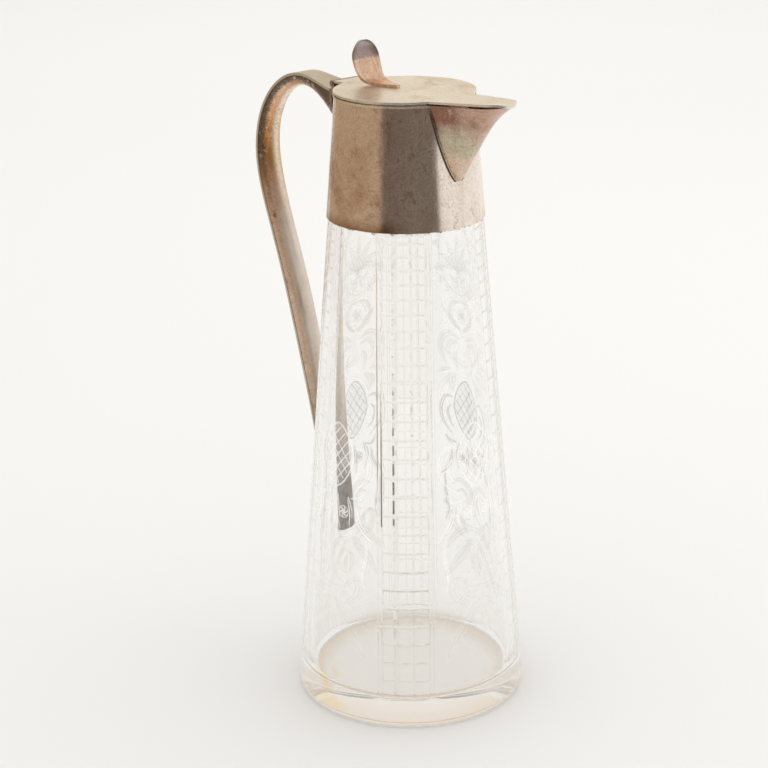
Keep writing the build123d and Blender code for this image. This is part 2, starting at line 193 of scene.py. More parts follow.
def toned_silver(name, clean, warm, dark, warm_share, dark_share, rough, offset, zones=(),
                 graininess=0.25, matt=None, pale=rgb(240, 228, 214)):
    """Silver plate with cloudy warm toning, fine dark grain, spots, and zones of more toning, of
    painted shade and of painted highlights.

    The shares say how much of it is warm and dark. The offset moves the noises, so that
    neighbouring pieces don't match. Where matt gives a mask, the plate is pale and dull.
    """
    g = Graph(name)
    place = g.moved(offset)
    cloud = g.noise(28, 5, 0.6, place, 0.4)
    blotch = g.noise(85, 4, 0.65, place)
    spots = g.noise(420, 3, 0.6, place)
    grain = g.noise(900, 4, 0.7, place)
    dust = g.noise(1700, 2, 0.6, place)
    colour = g.mix(g.remap(cloud, 0.62 - warm_share, 0.8 - warm_share), clean, warm)
    for zone in zones:
        mask, tint = zone(g, blotch, grain)
        colour = g.mix(mask, colour, tint)
    patchy = times(g, g.remap(grain, 0.46, 0.66), g.remap(blotch, 0.35, 0.6, 0.3, 1.0), graininess)
    for mask, tint in (
            (g.remap(blotch, 0.74 - dark_share, 0.92 - dark_share), dark),
            (patchy, dark),
            (g.remap(dust, 0.5, 0.7, 0.0, graininess * 0.6), dark),
            (g.remap(dust, 0.48, 0.3, 0.0, graininess * 0.6), clean),
            (g.remap(spots, 0.60, 0.76, 0.0, 0.4), dark),
            (g.remap(spots, 0.42, 0.28, 0.0, 0.45), clean)):
        colour = g.mix(mask, colour, tint)
    brushed = g.noise(1.0, 2, 0.5, g.scaled((2600, 2600, 90)))
    roughness = g.math("ADD", g.remap(blotch, 0.3, 0.75, *rough),
                       g.remap(brushed, 0.3, 0.7, 0, 0.05))
    dents = g.bump(g.noise(45, 2, 0.5, place), 0.2, 0.0005)
    fine = g.bump(grain, 0.10, 0.0002, dents)
    g.set(Base_Color=colour, Metallic=1.0, Roughness=roughness, Normal=fine)
    if matt is not None:
        mask = matt(g)
        g.set(Base_Color=g.mix(mask, colour, pale), Metallic=g.remap(mask, 0.0, 1.0, 1.0, 0.45))
    return g.mat


def clear_glass(name, clear):
    """Lead glass, a little amber in the thick base, that lets the lamps light what is behind it."""
    g = Graph(name)
    flat = g.node("ShaderNodeVectorMath", {0: g.scaled((1, 1, 0))}, operation="LENGTH")
    heel = times(g, g.remap(g.axis(Z), 0.012, 0.004),
                 g.remap(flat.outputs["Value"], 0.036, 0.046))
    colour = g.mix(heel, clear, rgb(242, 229, 213))
    # A yellowish patch, broken up by noise, low on the heel's -y side.
    yellow_patch = times(g, g.remap(g.axis(Y), -0.0500, -0.0512), g.remap(g.axis(Z), 0.0035, 0.0045),
                  g.remap(g.noise(130, 3, 0.6), 0.45, 0.55, 0.0, 0.7))
    colour = g.mix(yellow_patch, colour, rgb(250, 222, 150))
    waves = g.bump(g.noise(16, 2, 0.5), 0.08, 0.001)
    g.set(Base_Color=colour, Roughness=0.0, IOR=1.5, Transmission_Weight=1.0, Normal=waves)
    path = g.node("ShaderNodeLightPath")
    through = g.node("ShaderNodeBsdfTransparent", {"Color": rgb(253, 252, 250)})
    both = g.node("ShaderNodeMixShader", {0: path.outputs["Is Shadow Ray"]})
    g.put(both.inputs[1], g.bsdf.outputs[0])
    g.put(both.inputs[2], through.outputs[0])
    g.put(g.out.inputs[0], both.outputs[0])
    return g.mat


def ground_glass(name, alpha, colour, painted_glow=0.0):
    """The matt white of ground and engraved glass, which lets most light through; painted_glow
    makes it glow a little, which is painted light.
    """
    g = Graph(name)
    tint = g.mix(g.noise(45, 3, 0.5), colour, rgb(246, 242, 239))
    g.set(Base_Color=tint, Roughness=0.6, Alpha=alpha, Specular_IOR_Level=0.2,
          Emission_Color=rgb(255, 254, 252), Emission_Strength=painted_glow)
    return g.mat


# Zones of toning, and of painted shade and painted highlights. Each gives a mask and a tint from
# the material's blotches and grain, with heights and places in metres.
def lid_shade(g, blotch, grain):
    run = g.math("ADD", times(g, g.axis(X), 0.67), times(g, g.axis(Y), 0.74))
    run = g.math("ADD", run, centred(g, blotch, 0.03))
    return g.remap(run, -0.002, -0.022, 0.0, 0.3), rgb(196, 186, 166)


def lid_swirl(g, blotch, grain):
    swirl = g.noise(34, 3, 0.5, distortion=1.8)
    return g.remap(swirl, 0.5, 0.66, 0.0, 0.5), rgb(212, 190, 166)


# Paler in streaks towards the collar's +x side.
def collar_pale_side(g, blotch, grain):
    side = g.math("ADD", g.axis(X), times(g, g.axis(Y), 0.45))
    streak = g.noise(1.0, 4, 0.6, g.scaled((60, 60, 24)), 1.2)
    share = times(g, g.remap(side, 0.006, 0.018), g.remap(streak, 0.32, 0.52, 0.35, 1.0))
    return share, rgb(252, 242, 230)


def collar_foot(g, blotch, grain):
    return band(g, Z, 0.2305, 0.2255, blotch, 0.006), rgb(170, 134, 106)


def collar_rust(g, blotch, grain):
    fleck = g.noise(1.0, 4, 0.7, g.scaled((190, 190, 80)), 0.6)
    return g.remap(fleck, 0.58, 0.68, 0.0, 0.5), rgb(178, 122, 84)


def collar_white(g, blotch, grain):
    fleck = g.noise(1.0, 4, 0.7, g.scaled((150, 150, 300)), 0.6)
    return g.remap(fleck, 0.54, 0.68, 0.0, 0.6), rgb(250, 242, 230)


def spout_orange(g, blotch, grain):
    high = band(g, Z, 0.2640, 0.2725, blotch, 0.008)
    return times(g, high, g.remap(g.axis(X), 0.052, 0.040, 0.15, 0.85)), rgb(112, 52, 30)


def spout_green(g, blotch, grain):
    low = band(g, Z, 0.2540, 0.2600, blotch, 0.010)
    top = g.remap(g.axis(Z), 0.2735, 0.2665)
    return times(g, low, top, g.remap(g.axis(X), 0.049, 0.042), 0.7), rgb(176, 174, 146)


def spout_pink(g, blotch, grain):
    return g.remap(g.axis(X), 0.0435, 0.0500, 0.0, 0.6), rgb(196, 152, 130)


def thumb_bright(g, blotch, grain):
    streak = g.noise(1.0, 3, 0.6, g.scaled((60, 900, 120)))
    return g.remap(streak, 0.4, 0.62, 0.0, 0.6), rgb(208, 156, 122)


def thumb_dark(g, blotch, grain):
    return band(g, Z, 0.2903, 0.2912, grain, 0.002), rgb(170, 152, 150)


def thumb_blue(g, blotch, grain):
    return times(g, band(g, Z, 0.2950, 0.2975, blotch, 0.006), 0.75), rgb(184, 182, 184)


# Painted sheen: the sides of the handle's leg paler lower down, for the bright reflection they
# show.
def handle_leg_painted_sheen(g, blotch, grain):
    side = g.remap(side_facing(g), 0.2, 0.6)
    return times(g, side, g.remap(g.axis(Z), 0.235, 0.205, 0.0, 0.7)), rgb(206, 178, 154)


# Painted highlight: an orange toning colour laid as a band on the handle's sides, from the leg up,
# fading near the top.
def handle_orange_painted_highlight(g, blotch, grain):
    side = g.remap(side_facing(g), 0.15, 0.55)
    rise = band(g, Z, 0.205, 0.232, blotch, 0.02)
    fade = g.remap(g.axis(Z), 0.272, 0.252, 0.45, 1.0)
    return times(g, side, rise, fade), rgb(226, 158, 92)


# Gold toning on the faces between the handle's sides and its front, on the arch, laid as a step of
# the painted shading across the handle.
def handle_gold_painted_shading(g, blotch, grain):
    side = times(g, g.remap(side_facing(g), 0.05, 0.3), g.remap(side_facing(g), 0.6, 0.4))
    arch = times(g, g.remap(g.axis(Z), 0.225, 0.238), g.remap(g.axis(Z), 0.262, 0.250))
    return times(g, side, arch, 0.6), rgb(222, 206, 154)


# Dark speckled patina, with painted shade on the faces that look to either side, stronger up the
# arch.
def handle_patina_and_shade(g, blotch, grain):
    side = g.remap(g.math("ADD", side_facing(g), centred(g, grain, 0.5)), 0.72, 0.92)
    arch = g.remap(g.axis(Z), 0.205, 0.240, 0.1, 0.92)
    return times(g, side, arch), rgb(80, 72, 64)


def handle_foot(g, blotch, grain):
    return times(g, band(g, Z, 0.134, 0.086, blotch, 0.02), 0.9), rgb(96, 84, 76)


def strip_arch(g, blotch, grain):
    return times(g, band(g, Z, 0.250, 0.268, blotch, 0.02), 0.75), rgb(166, 152, 132)


# Masks of the pale, dull places.
def handle_inner_painted_sheen(g):
    """Painted light: the side towards the jug, above the lower end, pale and dull in patches, for
    the bright reflection it shows.
    """
    inner = g.remap(facing(g, X), 0.3, 0.8)
    leg = times(g, g.remap(g.axis(Z), 0.112, 0.150), g.remap(g.axis(Z), 0.240, 0.204))
    patches = g.remap(g.noise(55, 4, 0.6), 0.35, 0.6, 0.45, 0.9)
    return times(g, inner, leg, patches)


def strip_matt(g):
    return g.remap(g.noise(40, 3, 0.5), 0.3, 0.6, 0.35, 0.7)


glass = clear_glass("lead_glass", rgb(253, 253, 252))
cut_faces = clear_glass("cut_faces", rgb(244, 242, 239))
ENGRAVED = {
    "lines": ground_glass("engraved_line", 0.14, rgb(240, 239, 236)),
    "glowing_whites": ground_glass("engraved_white_painted_glow", 0.6, rgb(255, 255, 254), 0.14),
    "leaves": ground_glass("engraved_fill", 0.1, rgb(246, 245, 243)),
}
collar_silver = toned_silver(
    "collar_silver", rgb(236, 220, 204), rgb(206, 176, 152), rgb(168, 142, 120),
    warm_share=0.16, dark_share=0.16, rough=(0.1, 0.22), offset=0.0, graininess=0.5,
    zones=[collar_rust, collar_white, collar_foot, collar_pale_side])
rim_silver = toned_silver(
    "rim_silver", rgb(232, 222, 204), rgb(212, 194, 168), rgb(140, 124, 104),
    warm_share=0.08, dark_share=0.06, rough=(0.18, 0.34), offset=3.0)
lid_silver = toned_silver(
    "lid_silver", rgb(238, 232, 222), rgb(224, 212, 198), rgb(160, 150, 134),
    warm_share=0.10, dark_share=0.12, rough=(0.22, 0.4), offset=3.0, graininess=0.35,
    zones=[lid_swirl, lid_shade])
spout_silver = toned_silver(
    "spout_silver", rgb(224, 202, 182), rgb(200, 162, 136), rgb(120, 98, 80),
    warm_share=0.14, dark_share=0.16, rough=(0.2, 0.38), offset=7.0, graininess=0.5,
    zones=[spout_pink, spout_green, spout_orange])
handle_silver = toned_silver(
    "handle_silver", rgb(246, 228, 210), rgb(204, 174, 148), rgb(100, 82, 68),
    warm_share=0.12, dark_share=0.12, rough=(0.3, 0.42), offset=11.0, graininess=0.4,
    zones=[handle_leg_painted_sheen, handle_orange_painted_highlight, handle_gold_painted_shading, handle_patina_and_shade, handle_foot], matt=handle_inner_painted_sheen)
strip_silver = toned_silver(
    "strip_silver", rgb(228, 214, 196), rgb(206, 184, 160), rgb(130, 112, 94),
    warm_share=0.10, dark_share=0.12, rough=(0.3, 0.42), offset=13.0, graininess=0.4,
    zones=[strip_arch, handle_foot], matt=strip_matt, pale=rgb(196, 186, 166))
thumb_silver = toned_silver(
    "thumb_silver", rgb(244, 214, 186), rgb(222, 184, 154), rgb(130, 104, 92),
    warm_share=0.12, dark_share=0.10, rough=(0.26, 0.4), offset=15.0, graininess=0.4,
    zones=[thumb_bright, thumb_dark, thumb_blue])
# Painted shade: a darker copy of the silver for the hinge parts and the handle's end plate, which
# sit in the shadow under the lid.
silver_painted_shade = toned_silver(
    "silver_painted_shade", rgb(170, 150, 132), rgb(130, 108, 92), rgb(70, 58, 50),
    warm_share=0.16, dark_share=0.2, rough=(0.25, 0.45), offset=19.0)
# Painted shadow: a dark line on the collar beside each spout bead, where the gap at the seam lies
# in shade.
painted_seam_shadow = Graph("seam_painted_shadow")
painted_seam_shadow.set(Base_Color=painted_seam_shadow.mix(painted_seam_shadow.noise(300), rgb(58, 46, 38), rgb(104, 84, 68)),
          Roughness=0.7, Metallic=0.3)
plaster = Graph("plaster")
grit = plaster.noise(500, 5, 0.65)
plaster.set(Base_Color=plaster.mix(grit, rgb(196, 178, 156), rgb(236, 228, 214)), Roughness=0.9,
            Normal=plaster.bump(grit, 0.6, 0.0005))

for node, material in {
    "cement_bed": plaster.mat,
    "collar_band": collar_silver,
    "collar_rim": rim_silver,
    "spout_lip": spout_silver,
    "lid_plate": lid_silver,
    "lid_bezel": rim_silver,
    "lid_knuckle": silver_painted_shade,
    "hinge_bracket": silver_painted_shade,
    "handle_end_plate": silver_painted_shade,
    "hinge_pin": silver_painted_shade,
    "handle_shell": handle_silver,
    "handle_back": strip_silver,
    "thumbpiece": thumb_silver,
}.items():
    nodes[node].data.materials.clear()
    nodes[node].data.materials.append(material)

# ---------------------------------------------------------------- the cut glass body
CUT_LOW, CUT_HIGH, CUT_MARGIN = 14.0, 224.0, 4.0
GROOVE, GROOVE_DEPTH = 0.6, 0.24                # half the width of a groove, and its depth
BORDER_GAP, BORDER, BORDER_DEPTH = 1.9, 0.4, 0.2
# The interrupted groove: its place in cell widths from the column's middle, its two uneven
# half widths, and its share of the depth at a row and at three places between two rows.
DASH_AT, DASH_LEFT, DASH_RIGHT, DASH_DEPTH = -0.68, 0.8, 0.45, 0.56
DASH_AT_ROW, DASH_BETWEEN = 0.3, ((0.25, 0.8), (0.5, 1.0), (0.75, 0.8))
COLUMNS = [math.radians(a) for a in (-135, -45, 45, 135)]
COLUMN_WIDTH, COLUMN_FOOT, COLUMN_LOSS = 21.6, 10, 2.4 / 190   # at its foot, lost per mm of height
ROW_STEP, ROW_LOSS, ROW_LOSS_FROM = 8.6, 3.2 / 75, 145.0       # closer rows above this height
PANEL_STEPS, HEEL_STEPS, WALL_STEPS, CORNER_STEPS = 22, 6, 24, 7
FOOT_RINGS, FLOOR_RINGS = (16, 32, 44), (30, 15)
CUT_FACE_DEPTHS = 0.15, 1.0     # a face of a cut has its deepest corner between these depths
PLAIN, GRID, DASHED = 0, 1, 2


def column_width(z):
    return COLUMN_WIDTH - COLUMN_LOSS * (z - COLUMN_FOOT)


def cut_rows():
    """Heights of the level grooves, which draw together in the upper part."""
    rows, z = [], CUT_LOW
    while z < CUT_HIGH:
        rows.append(z)
        z += min(ROW_STEP, ROW_STEP - ROW_LOSS * (z - ROW_LOSS_FROM))
    rows.append(CUT_HIGH)
    return rows


def column_marks(z):
    """Points across a cut column: offset in mm, depth of the upright groove there and kind."""
    cell = column_width(z) / 3
    marks = [(0, 0, GRID), (cell, 0, GRID)]     # the third cell has the interrupted groove
    for k in (-1.5, -0.5, 0.5, 1.5):
        marks += [(k * cell - GROOVE, 0, GRID), (k * cell, GROOVE_DEPTH, GRID),
                  (k * cell + GROOVE, 0, GRID)]
    for step, depth in ((-DASH_LEFT, 0), (0, DASH_DEPTH), (DASH_RIGHT, 0)):
        marks.append((DASH_AT * cell + step, depth, DASHED))
    for edge in (-1.5 * cell - BORDER_GAP, 1.5 * cell + BORDER_GAP):
        marks += [(edge - BORDER, 0, PLAIN), (edge, BORDER_DEPTH, PLAIN),
                  (edge + BORDER, 0, PLAIN)]
    return sorted(marks)


def around(z):
    """Every point round the glass at a height: its angle, offset, groove depth and kind."""
    r, marks = glass_r(z), column_marks(z)
    points = []
    for number, middle in enumerate(COLUMNS):
        points += [(middle + offset / r, offset, depth, kind) for offset, depth, kind in marks]
        start = middle + marks[-1][0] / r
        following = COLUMNS[(number + 1) % 4] + (2 * math.pi if number == 3 else 0)
        end = following + marks[0][0] / r
        points += [(start + (end - start) * k / PANEL_STEPS, 0, 0, PLAIN)
                   for k in range(1, PANEL_STEPS)]
    return points


def cut_ring(z, level=0, upright=1, dash=DASH_AT_ROW):
    """One ring of the outside: level is 1 at the bottom of a level groove, upright scales the
    upright grooves, and dash scales the interrupted one."""
    ring = []
    reach = column_width(z) / 2 + 0.01
    for angle, offset, depth, kind in around(z):
        cut = depth * upright * (dash if kind == DASHED else 1)
        if level and kind != PLAIN and abs(offset) <= reach:
            cut = max(cut, GROOVE_DEPTH)
        ring.append(polar(glass_r(z) - cut, angle, z))
    return ring


def plain_ring(r, z):
    """A ring with no cuts, at the same angles as the cut rings at its nearest height."""
    return [polar(r, point[0], z) for point in around(min(max(z, CUT_LOW), CUT_HIGH))]


def outside_rings():
    rings = [plain_ring(r, 0) for r in (*FOOT_RINGS, BASE_R - HEEL_R)]
    for k in range(1, HEEL_STEPS + 1):
        t = math.pi / 2 * k / HEEL_STEPS
        rings.append(plain_ring(BASE_R - HEEL_R + HEEL_R * math.sin(t),
                                HEEL_R - HEEL_R * math.cos(t)))
    rings.append(plain_ring(glass_r(CUT_LOW - CUT_MARGIN), CUT_LOW - CUT_MARGIN))
    rows = cut_rows()
    for z, above in zip(rows, rows[1:] + [None]):
        rings.append(cut_ring(z - GROOVE, upright=z > CUT_LOW))
        rings.append(cut_ring(z, level=1))
        rings.append(cut_ring(z + GROOVE, upright=z < CUT_HIGH))
        if above:
            rings += [cut_ring(z + (above - z) * share, dash=dash)
                      for share, dash in DASH_BETWEEN]
    return rings + [plain_ring(glass_r(NECK_Z), NECK_Z), plain_ring(NECK_R, NECK_Z)]


def inside_rings():
    """The neck's rim, then the hollow from its top to its floor."""
    top, foot = RIM_Z - RIM_BEVEL, FLOOR_Z + CORNER_R
    rings = [plain_ring(RIM_R, top), plain_ring(RIM_R - RIM_BEVEL, RIM_Z),
             plain_ring(INNER_TOP_R + RIM_BEVEL, RIM_Z)]
    for k in range(WALL_STEPS):
        z = top + (foot - top) * k / WALL_STEPS
        rings.append(plain_ring(inner_r(z), z))
    centre = inner_r(foot) - CORNER_R
    for k in range(CORNER_STEPS + 1):
        t = math.pi / 2 * k / CORNER_STEPS
        rings.append(plain_ring(centre + CORNER_R * math.cos(t), foot - CORNER_R * math.sin(t)))
    return rings + [plain_ring(r, FLOOR_Z + FLOOR_RISE * (1 - r / FLOOR_RISE_R))
                    for r in FLOOR_RINGS]


def mark_cut_faces(piece):
    """The faces of the cuts get the second material, which is a little greyer."""
    mesh = piece.data
    mesh.materials.append(cut_faces)
    shallow, deep = CUT_FACE_DEPTHS
    for polygon in mesh.polygons:
        corners = [mesh.vertices[i].co / MM for i in polygon.vertices]
        depth = max(glass_r(at.z) - math.hypot(at.x, at.y) for at in corners)
        if shallow < depth <= deep and CUT_LOW - 1 < polygon.center.z / MM < CUT_HIGH + 1:
            polygon.material_index = 1


def build_glass():
    rings = outside_rings() + inside_rings()
    count = len(rings[0])
    verts = [v for ring in rings for v in ring]
    bottom, middle = len(verts), len(verts) + 1
    last = (len(rings) - 1) * count
    verts += [Vector((0, 0, 0)), Vector((0, 0, (FLOOR_Z + FLOOR_RISE) * MM))]
    faces = []
    for i in range(0, last, count):
        for j in range(count):
            k = (j + 1) % count
            faces.append((i + j, i + k, i + count + k, i + count + j))
    for j in range(count):
        k = (j + 1) % count
        faces += [(bottom, k, j), (middle, last + j, last + k)]
    piece = new_piece("cut_glass_body", verts, faces, glass, smooth_angle=20)
    mark_cut_faces(piece)
    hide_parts("glass_body")


build_glass()

# ---------------------------------------------------------------- seams and crumbs
# The same collar and spout as in the CAD model, in mm.
COLLAR_LOW, COLLAR_TOP = 225.2, 277.8
COLLAR_LOW_R, COLLAR_TOP_R = 34.9, 30.5
SPOUT_LOW, SPOUT_HALF, SPOUT_ROOT = 245.0, 11.7, 2.0
SPOUT_SLOPE, SPOUT_FLARE, NOSE_SHARE = 0.60, 3.9, 0.8
SEAM_STEPS, SEAM_BUNCHING, SEAM_END = 36, 1.7, 0.25     # points, closer at the lower end
TUBE_SIDES, TUBE_TIP = 8, 0.3                           # a tip has this share of the radius
CRUMB_STEPS, CRUMB_LIFT, CRUMB_TUCK = 540, 0.09, 0.4    # off the glass, and up behind the collar
CRUMB_LEAST, CRUMB_MOST = 0.05, 1.5                     # how far the crumbs hang down


def collar_r(z):
    share = (z - COLLAR_LOW) / (COLLAR_TOP - COLLAR_LOW)
    return COLLAR_LOW_R + (COLLAR_TOP_R - COLLAR_LOW_R) * share


def spout_edge(z):
    """Half the angle of the collar that the spout covers at a height."""
    rise = max(0.02, z - SPOUT_LOW)
    depth = COLLAR_TOP - SPOUT_LOW
    half = SPOUT_HALF * math.sqrt(rise / depth)
    nose = collar_r(SPOUT_LOW) + 1 - math.exp(-rise) + SPOUT_SLOPE * rise
    nose += SPOUT_FLARE * (rise / depth) ** 5
    root = collar_r(z) - SPOUT_ROOT
    round_r = NOSE_SHARE * half
    run = nose - round_r - root
    turn = math.atan2(half, -run) - math.acos(min(1, round_r / math.hypot(run, half)))
    tx, ty = nose - round_r + round_r * math.cos(turn), round_r * math.sin(turn)
    low, high = 0.0, 1.0
    for _ in range(30):
        t = (low + high) / 2
        x, y = root + (tx - root) * t, half + (ty - half) * t
        low, high = (t, high) if math.hypot(x, y) < collar_r(z) else (low, t)
    return math.atan2(y, x)


def tube(name, points, radius, material):
    """A round bead along points on the jug, thinner at its two ends."""
    verts, faces = [], []
    for k, point in enumerate(points):
        run = (points[min(len(points) - 1, k + 1)] - points[max(0, k - 1)]).normalized()
        out = Vector((point.x, point.y, 0)).normalized()
        across = run.cross(out).normalized()
        out = across.cross(run)
        share = min(1, k / 3, (len(points) - 1 - k) / 3)
        size = radius * (TUBE_TIP + (1 - TUBE_TIP) * share)
        for j in range(TUBE_SIDES):
            a = 2 * math.pi * j / TUBE_SIDES
            verts.append(point + (across * math.cos(a) + out * math.sin(a)) * size)
            if k:
                here, n = k * TUBE_SIDES, (j + 1) % TUBE_SIDES
                below = here - TUBE_SIDES
                faces.append((below + j, below + n, here + n, here + j))
    faces.append(tuple(range(TUBE_SIDES)))
    faces.append(tuple(range(len(verts) - TUBE_SIDES, len(verts))))
    piece = new_piece(name, verts, faces, material, smooth_angle=60)


def spout_seam(name, side, lift, aside, radius, material):
    """A bead along one edge of the spout, where it is soldered to the collar."""
    points = []
    for k in range(SEAM_STEPS + 1):
        share = (k / SEAM_STEPS) ** SEAM_BUNCHING
        z = SPOUT_LOW + SEAM_END + share * (COLLAR_TOP - SPOUT_LOW - 2 * SEAM_END)
        r = collar_r(z)
        points.append(polar(r + lift, side * (spout_edge(z) + aside / r), z))
    tube(name, points, radius * MM, material)


# Each edge of the spout gets a bead, and beside it a line of painted shadow.
for side, label in ((-1, "right"), (1, "left")):
    spout_seam(f"spout_bead_{label}", side, 0.08, 0.0, 0.42, spout_silver)
    spout_seam(f"spout_seam_painted_shadow_{label}", side, 0.0, 0.75, 0.36, painted_seam_shadow.mat)


def plaster_crumbs():
    """Plaster that shows, ragged and dirty, under the collar's lower edge."""
    verts, faces = [], []
    for k in range(CRUMB_STEPS):
        a = 2 * math.pi * k / CRUMB_STEPS
        spot = Vector((math.cos(a), math.sin(a), 0))
        hang = 0.35 + 1.1 * noise.noise(spot * 9) + 0.9 * noise.noise(spot * 31)
        hang = max(CRUMB_LEAST, min(CRUMB_MOST, hang))
        for z in (COLLAR_LOW + CRUMB_TUCK, COLLAR_LOW - hang * 0.5, COLLAR_LOW - hang):
            verts.append(polar(glass_r(z) + CRUMB_LIFT, a, z))
    for k in range(CRUMB_STEPS):
        n = (k + 1) % CRUMB_STEPS
        for row in (0, 1):
            faces.append((3 * k + row, 3 * k + row + 1, 3 * n + row + 1, 3 * n + row))
    g = Graph("dirty_plaster")
    dirt = g.remap(g.noise(120, 5, 0.7), 0.5, 0.62)
    g.set(Base_Color=g.mix(dirt, rgb(246, 240, 232), rgb(96, 70, 54)), Roughness=0.9,
          Normal=g.bump(g.noise(700, 3), 0.5, 0.0004))
    new_piece("plaster_crumbs", verts, faces, g.mat, smooth_angle=50)


plaster_crumbs()

# ---------------------------------------------------------------- engraved panels
STROKE_STEP, STROKE_LIFT, FILL_LIFT = 1.1, 0.05, 0.035
WHITE_FROM, WHITE_TO = 84, 136              # strokes that start between these heights are white and glow a little: painted light
BLADE_STEP, BLADE_FULLEST = 1.2, 0.42       # a blade is widest at this share of its length
ACROSS = (-1, -0.5, 0, 0.5, 1)


class Panel:
    """Flat drawing in mm, x across and z up, that is laid on the cone round one compass angle."""

    def __init__(self, middle):
        self.middle = math.radians(middle)
        self.meshes = {kind: ([], []) for kind in ENGRAVED}

    def lay(self, point, lift):
        x, z = point
        r = glass_r(z)
        return polar(r + lift, self.middle + x / r, z)

    def stroke(self, points, width=0.5, taper=True):
        """A line as a narrow band; with taper, it is thin at its ends."""
        points = resample(points, STROKE_STEP)
        if len(points) < 2:
            return
        white = WHITE_FROM < points[0].y < WHITE_TO
        verts, faces = self.meshes["glowing_whites" if white else "lines"]
        first = len(verts)
        count = len(points)
        for k, point in enumerate(points):
            run = points[min(count - 1, k + 1)] - points[max(0, k - 1)]
            share = k / (count - 1)
            half = width / 2 * (0.35 + 0.65 * math.sin(math.pi * share) if taper else 1)
            side = Vector((-run.y, run.x)) / (run.length or 1) * half
            verts += [self.lay(point + side, STROKE_LIFT), self.lay(point - side, STROKE_LIFT)]
            if k:
                i = first + 2 * k
                faces.append((i - 2, i - 1, i + 1, i))

    def strip(self, rows):
        """A filled shape from rows of points across it."""
        verts, faces = self.meshes["leaves"]
        first = len(verts)
        wide = len(rows[0])
        for row in rows:
            verts += [self.lay(point, FILL_LIFT) for point in row]
        for i in range(len(rows) - 1):
            for j in range(wide - 1):
                a = first + i * wide + j
                faces.append((a, a + 1, a + wide + 1, a + wide))

    def leaf(self, root, angle, length, width, curl=0.0, veins=True):
        """A leaf from its root: angle in degrees from +x, curl in degrees from root to tip."""
        steps = max(6, int(length / BLADE_STEP))
        points, heading, point = [], math.radians(angle), Vector(root)
        for _ in range(steps + 1):
            points.append(point.copy())
            point = point + Vector((math.cos(heading), math.sin(heading))) * length / steps
            heading += math.radians(curl) / steps
        self.blade(points, width, veins, smooth=False)

    def blade(self, points, width, veins=True, smooth=True):
        """A leaf along a line of points, with an outline on one side and a vein."""
        spine = curve_through(points) if smooth else points
        count = len(spine) - 1
        rows = []
        for k, at in enumerate(spine):
            t = k / count
            if t < BLADE_FULLEST:
                share = t / BLADE_FULLEST / 2
            else:
                share = 0.5 + (t - BLADE_FULLEST) / (1 - BLADE_FULLEST) / 2
            half = width / 2 * (0.08 + 0.92 * math.sin(math.pi * share) ** 0.8)
            run = spine[min(count, k + 1)] - spine[max(0, k - 1)]
            side = Vector((-run.y, run.x)).normalized()
            rows.append([at + side * half * w for w in ACROSS])
        self.strip(rows)
        self.stroke([row[0] for row in rows], 0.8)
        if veins:
            self.stroke([row[2] for row in rows[: int(count * 0.8)]], 0.6)

    def fluting(self, points, width, count):
        """Short strokes across a fold, from its middle line to its edge."""
        spine = curve_through(points)
        for k in range(1, count):
            i = int(len(spine) * k / count)
            run = (spine[min(len(spine) - 1, i + 1)] - spine[max(0, i - 1)]).normalized()
            side = Vector((-run.y, run.x))
            self.stroke([spine[i], spine[i] + side * width * math.sin(math.pi * k / count)], 0.3)

    def finish(self, name):
        for kind, (verts, faces) in self.meshes.items():
            piece = new_piece(f"engraved_{kind}_{name}", verts, faces, ENGRAVED[kind])


def curve_through(points):
    """A smooth line through points, as evenly spaced vectors."""
    points = [Vector(p) for p in points]
    ends = [points[0] * 2 - points[1]] + points + [points[-1] * 2 - points[-2]]
    line = []
    for a, b, c, d in zip(ends, ends[1:], ends[2:], ends[3:]):
        steps = max(2, int((c - b).length / BLADE_STEP))
        for k in range(steps):
            t = k / steps
            line.append(0.5 * (2 * b + (c - a) * t + (2 * a - 5 * b + 4 * c - d) * t * t
                               + (3 * b - a - 3 * c + d) * t ** 3))
    return line + [points[-1]]


def resample(points, step):
    """The same line with its points a step apart, and its last point kept."""
    points = [Vector(p) for p in points]
    out, spare = [points[0]], 0.0
    for a, b in zip(points, points[1:]):
        length = (b - a).length
        if length < 1e-6:
            continue
        along = step - spare
        while along < length:
            out.append(a + (b - a) * along / length)
            along += step
        spare = length - (along - step)
    if (out[-1] - points[-1]).length > 0.2:
        out.append(points[-1])
    return out


def oval(p, x, z, wide, tall, width):
    ring = [(x + wide * math.cos(math.radians(6 * k)), z + tall * math.sin(math.radians(6 * k)))
            for k in range(61)]
    p.stroke(ring, width, False)


def rosette(p, x, z, radius):
    oval(p, x, z, radius, radius, 0.4)
    oval(p, x, z, radius * 0.35, radius * 0.35, 0.4)
    for k in range(6):
        p.leaf((x, z), 60 * k + 30, radius * 0.95, radius * 0.6, 0, False)


